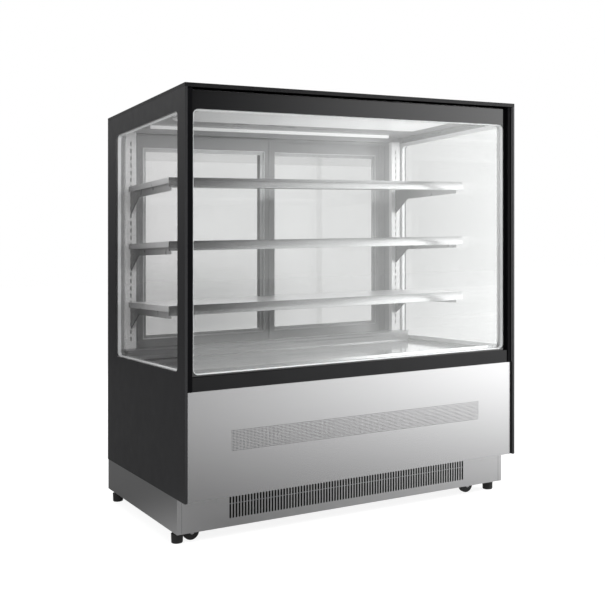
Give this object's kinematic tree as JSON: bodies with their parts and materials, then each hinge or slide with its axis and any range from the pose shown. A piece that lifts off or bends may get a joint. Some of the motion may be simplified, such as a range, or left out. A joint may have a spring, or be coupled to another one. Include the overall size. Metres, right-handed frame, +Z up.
{
  "type": "refrigerated display case",
  "caption": "Free-standing refrigerated display case with glass front and sides, shelves, sliding rear doors, stainless base panel, levelling feet and castors.",
  "frame": {"origin": "on the floor under the middle of the case's box", "axes": "+X to the right side as seen from the front, +Y from the front glass to the rear doors, +Z up"},
  "size_m": [1.2, 0.746, 1.338],
  "materials": {
    "black_enamel": "gloss black",
    "clear_glass": "clear",
    "black_spacer": "matte black",
    "brushed_stainless": "brushed",
    "polished_deck": "polished",
    "chassis_steel": "zinc grey paint",
    "white_liner": "satin white",
    "aluminium_frame": "satin anodised",
    "white_steel": "satin white paint",
    "white_strip": "satin",
    "lamp_diffuser": "opal",
    "fin_aluminium": "bare",
    "fan_plastic": "black",
    "dark_metal": "black paint",
    "copper_pipe": "bare copper",
    "tray_plastic": "light grey",
    "black_plastic": "matte black",
    "castor_steel": "black",
    "castor_tread": "black",
    "foot_rubber": "black"
  },
  "bodies": {
    "cabinet": {"top_cap": "black_enamel", "left_side_frame": "black_enamel", "right_side_frame": "black_enamel", "front_glass_border": "black_enamel", "corner_profiles": "black_enamel", "front_band": "black_enamel", "side_outer_panes": "clear_glass", "side_inner_panes": "clear_glass", "front_outer_pane": "clear_glass", "front_inner_pane": "clear_glass", "glass_spacers": "black_spacer", "front_panel": "brushed_stainless", "plinth_front": "brushed_stainless", "plinth_sides": "brushed_stainless", "plinth_back": "brushed_stainless", "rear_access_panel": "brushed_stainless", "deck_plate": "polished_deck", "air_duct_panel": "polished_deck", "base_frame": "chassis_steel", "base_pan": "chassis_steel", "castor_plates": "chassis_steel", "control_box": "chassis_steel", "ceiling_panel": "white_liner", "insulated_tub": "white_liner", "rear_frame": "aluminium_frame", "shelf_uprights": "white_steel", "shelf_plates": "white_steel", "shelf_brackets": "white_steel", "ticket_strips": "white_strip", "light_fittings": "lamp_diffuser", "evaporator_coil": "fin_aluminium", "condenser_coil": "fin_aluminium", "evaporator_fan_housings": "fan_plastic", "condenser_shroud": "dark_metal", "compressor": "dark_metal", "refrigerant_pipes": "copper_pipe", "condensate_tray": "tray_plastic", "temperature_controller": "black_plastic", "cable_gland": "black_plastic"},
    "left_door": {"left_door_frame": "aluminium_frame", "left_door_glass": "clear_glass"},
    "right_door": {"right_door_frame": "aluminium_frame", "right_door_glass": "clear_glass"},
    "evaporator_rotor_left": {"evaporator_fan_left": "fan_plastic"},
    "evaporator_rotor_right": {"evaporator_fan_right": "fan_plastic"},
    "condenser_rotor": {"condenser_fan": "fan_plastic"},
    "power_rocker": {"power_switch": "black_plastic"},
    "light_rocker": {"light_switch": "black_plastic"},
    "fork_front_left": {"castor_fork_front_left": "castor_steel"},
    "wheel_front_left": {"castor_wheel_front_left": "castor_tread"},
    "foot_body_front_left": {"foot_front_left": "foot_rubber"},
    "fork_front_right": {"castor_fork_front_right": "castor_steel"},
    "wheel_front_right": {"castor_wheel_front_right": "castor_tread"},
    "foot_body_front_right": {"foot_front_right": "foot_rubber"},
    "fork_rear_left": {"castor_fork_rear_left": "castor_steel"},
    "wheel_rear_left": {"castor_wheel_rear_left": "castor_tread"},
    "foot_body_rear_left": {"foot_rear_left": "foot_rubber"},
    "fork_rear_right": {"castor_fork_rear_right": "castor_steel"},
    "wheel_rear_right": {"castor_wheel_rear_right": "castor_tread"},
    "foot_body_rear_right": {"foot_rear_right": "foot_rubber"}
  },
  "joints": [
    {"name": "left_door_slide", "type": "slide", "parent": "cabinet", "child": "left_door", "axis": [1, 0, 0], "range_m": [0, 0.46]},
    {"name": "right_door_slide", "type": "slide", "parent": "cabinet", "child": "right_door", "axis": [-1, 0, 0], "range_m": [0, 0.46]},
    {"name": "evaporator_fan_spin_left", "type": "hinge", "parent": "cabinet", "child": "evaporator_rotor_left", "pos_m": [-0.2, 0.12, 0.425], "axis": [0, 1, 0], "continuous": true},
    {"name": "evaporator_fan_spin_right", "type": "hinge", "parent": "cabinet", "child": "evaporator_rotor_right", "pos_m": [0.2, 0.12, 0.425], "axis": [0, 1, 0], "continuous": true},
    {"name": "condenser_fan_spin", "type": "hinge", "parent": "cabinet", "child": "condenser_rotor", "pos_m": [0.33, -0.21, 0.199], "axis": [0, 1, 0], "continuous": true},
    {"name": "power_rocker_tilt", "type": "hinge", "parent": "cabinet", "child": "power_rocker", "pos_m": [0.48, 0.3655, 0.29], "axis": [1, 0, 0], "range_deg": [-7, 7]},
    {"name": "light_rocker_tilt", "type": "hinge", "parent": "cabinet", "child": "light_rocker", "pos_m": [0.51, 0.3655, 0.29], "axis": [1, 0, 0], "range_deg": [-7, 7]},
    {"name": "castor_swivel_front_left", "type": "hinge", "parent": "cabinet", "child": "fork_front_left", "pos_m": [-0.51, -0.249, 0.067], "axis": [0, 0, 1], "continuous": true},
    {"name": "wheel_spin_front_left", "type": "hinge", "parent": "fork_front_left", "child": "wheel_front_left", "pos_m": [-0.534, -0.249, 0.025], "axis": [0, 1, 0], "continuous": true},
    {"name": "foot_screw_front_left", "type": "slide", "parent": "cabinet", "child": "foot_body_front_left", "axis": [0, 0, -1], "range_m": [0, 0.012]},
    {"name": "castor_swivel_front_right", "type": "hinge", "parent": "cabinet", "child": "fork_front_right", "pos_m": [0.51, -0.249, 0.067], "axis": [0, 0, 1], "continuous": true},
    {"name": "wheel_spin_front_right", "type": "hinge", "parent": "fork_front_right", "child": "wheel_front_right", "pos_m": [0.486, -0.249, 0.025], "axis": [0, 1, 0], "continuous": true},
    {"name": "foot_screw_front_right", "type": "slide", "parent": "cabinet", "child": "foot_body_front_right", "axis": [0, 0, -1], "range_m": [0, 0.012]},
    {"name": "castor_swivel_rear_left", "type": "hinge", "parent": "cabinet", "child": "fork_rear_left", "pos_m": [-0.51, 0.316, 0.067], "axis": [0, 0, 1], "continuous": true},
    {"name": "wheel_spin_rear_left", "type": "hinge", "parent": "fork_rear_left", "child": "wheel_rear_left", "pos_m": [-0.534, 0.316, 0.025], "axis": [0, 1, 0], "continuous": true},
    {"name": "foot_screw_rear_left", "type": "slide", "parent": "cabinet", "child": "foot_body_rear_left", "axis": [0, 0, -1], "range_m": [0, 0.012]},
    {"name": "castor_swivel_rear_right", "type": "hinge", "parent": "cabinet", "child": "fork_rear_right", "pos_m": [0.51, 0.316, 0.067], "axis": [0, 0, 1], "continuous": true},
    {"name": "wheel_spin_rear_right", "type": "hinge", "parent": "fork_rear_right", "child": "wheel_rear_right", "pos_m": [0.486, 0.316, 0.025], "axis": [0, 1, 0], "continuous": true},
    {"name": "foot_screw_rear_right", "type": "slide", "parent": "cabinet", "child": "foot_body_rear_right", "axis": [0, 0, -1], "range_m": [0, 0.012]}
  ]
}
